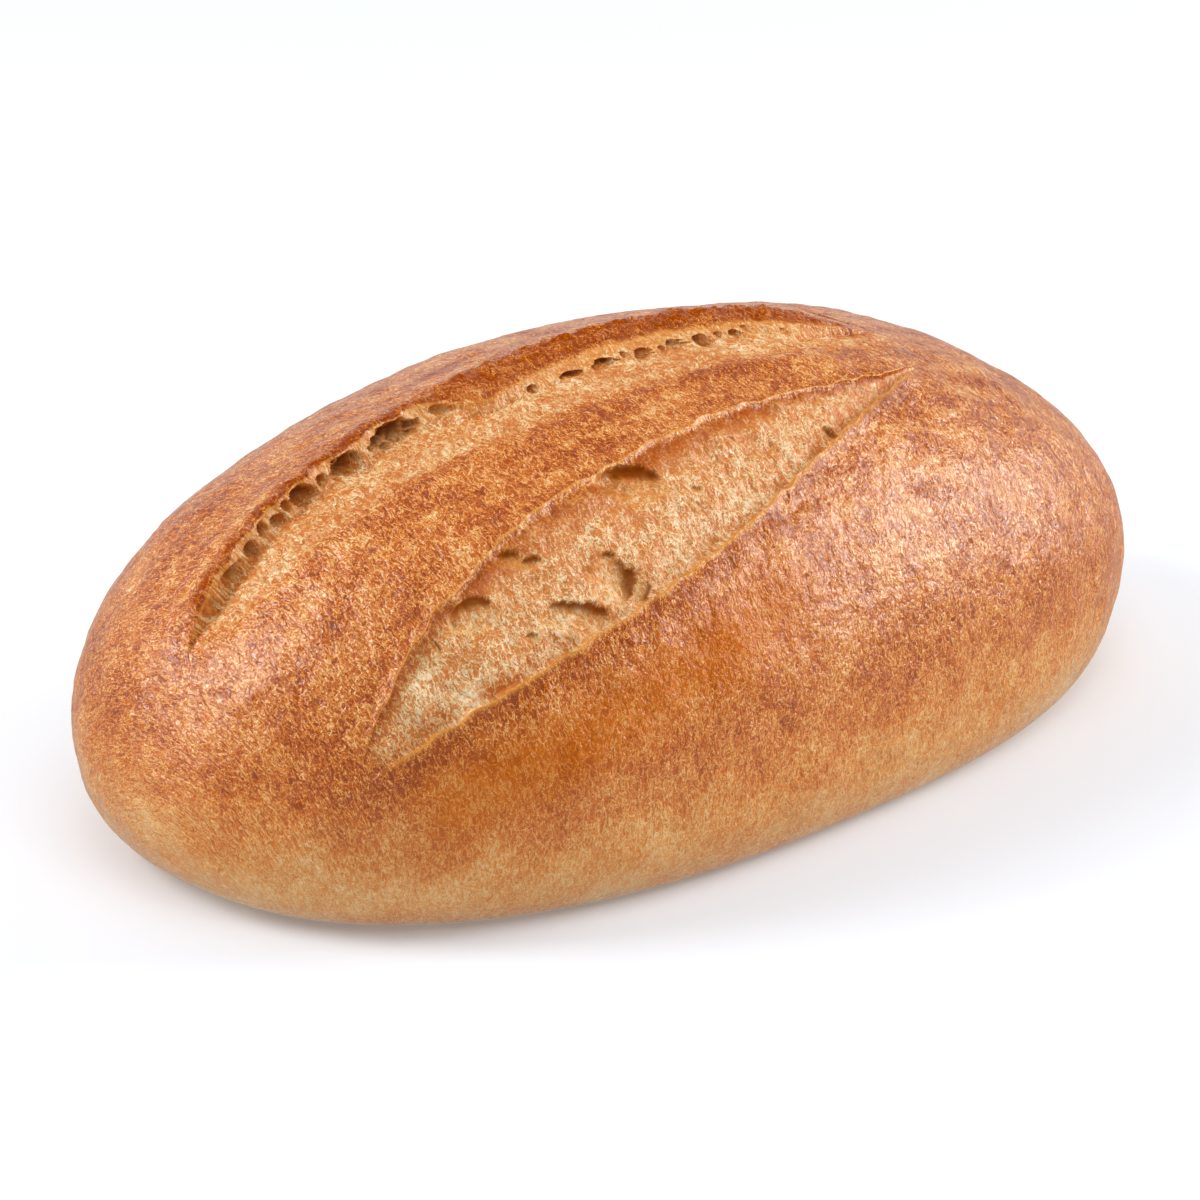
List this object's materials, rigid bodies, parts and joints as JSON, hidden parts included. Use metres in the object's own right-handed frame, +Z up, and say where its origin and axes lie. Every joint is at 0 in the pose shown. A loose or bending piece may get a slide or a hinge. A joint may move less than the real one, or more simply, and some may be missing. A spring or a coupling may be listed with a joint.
{
  "type": "spelt bread loaf",
  "caption": "Oval free-baked spelt loaf with a brown crust and two lengthwise cuts that opened in the oven, resting on its flat base.",
  "frame": {"origin": "centre of the loaf's box on the surface that it stands on", "axes": "+X along the loaf from its nose to its tail, -Y towards the side that the front cut leans to, +Z up from the flat base"},
  "size_m": [0.24, 0.1398, 0.0843],
  "materials": {
    "crust": "satin baked crust"
  },
  "bodies": {
    "root": {"loaf": "crust"}
  },
  "joints": []
}
